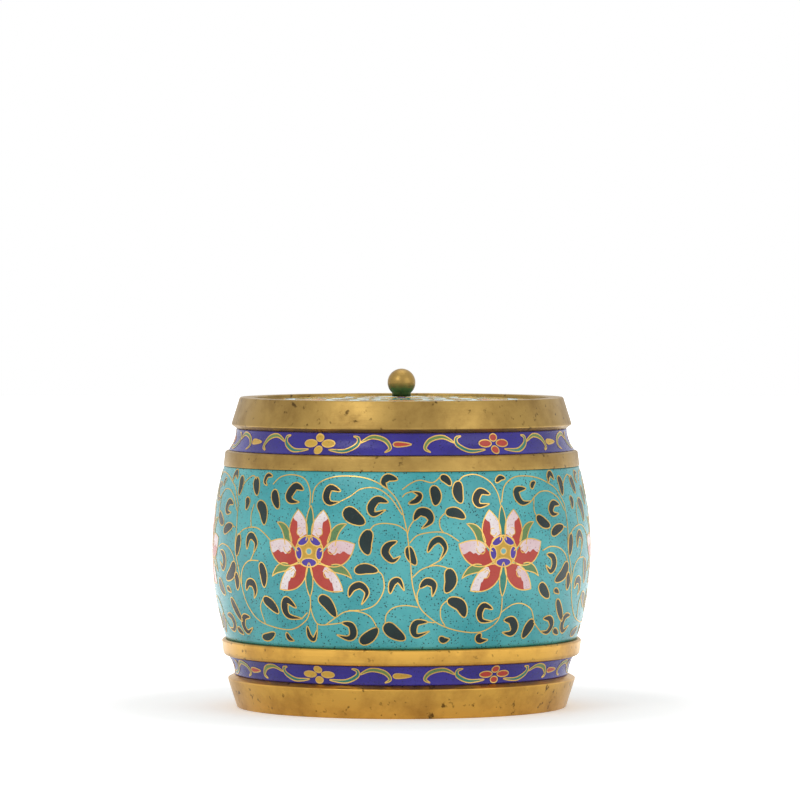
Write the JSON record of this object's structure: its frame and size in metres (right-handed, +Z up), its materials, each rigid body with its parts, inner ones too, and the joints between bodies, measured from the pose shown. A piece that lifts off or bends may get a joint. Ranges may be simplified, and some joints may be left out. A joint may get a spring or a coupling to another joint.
{
  "type": "lidded jar",
  "caption": "Squat barrel-shaped cloisonne jar with enamelled lotus flowers, gilt rings and a lift-off lid with a ball knob that drops into a seat inside the rim.",
  "frame": {"origin": "centre of the circle that the foot ring stands on", "axes": "+Z up along the jar's axis, -Y is the side that faces the picture"},
  "size_m": [0.125, 0.125, 0.1115],
  "materials": {
    "gilt": "worn gilding",
    "aged_gilt": "aged gilding",
    "copper": "copper sheet",
    "turquoise_enamel": "polished opaque enamel",
    "cobalt_enamel": "polished opaque enamel",
    "lotus_enamel": "polished opaque enamel"
  },
  "bodies": {
    "jar": {"foot_ring": "gilt", "base_plate": "gilt", "floor_plate": "copper", "body_shell": "copper", "lower_band_enamel": "cobalt_enamel", "lower_ring": "gilt", "body_enamel": "turquoise_enamel", "shoulder_ring": "aged_gilt", "neck_band_enamel": "cobalt_enamel", "mouth_rim": "aged_gilt", "lotus_bloom_1": "lotus_enamel", "lotus_bloom_2": "lotus_enamel", "lotus_bloom_3": "lotus_enamel", "lotus_bloom_4": "lotus_enamel", "lotus_bloom_5": "lotus_enamel", "lotus_bloom_6": "lotus_enamel"},
    "lid": {"lid_plate": "copper", "lid_edge_ring": "aged_gilt", "lid_enamel": "turquoise_enamel", "lid_flange": "gilt", "knob": "aged_gilt", "knob_pin": "gilt", "knob_washer": "gilt"}
  },
  "joints": [
    {"name": "lid_lift", "type": "slide", "parent": "jar", "child": "lid", "axis": [0, 0, 1], "range_m": [0, 0.06]}
  ]
}
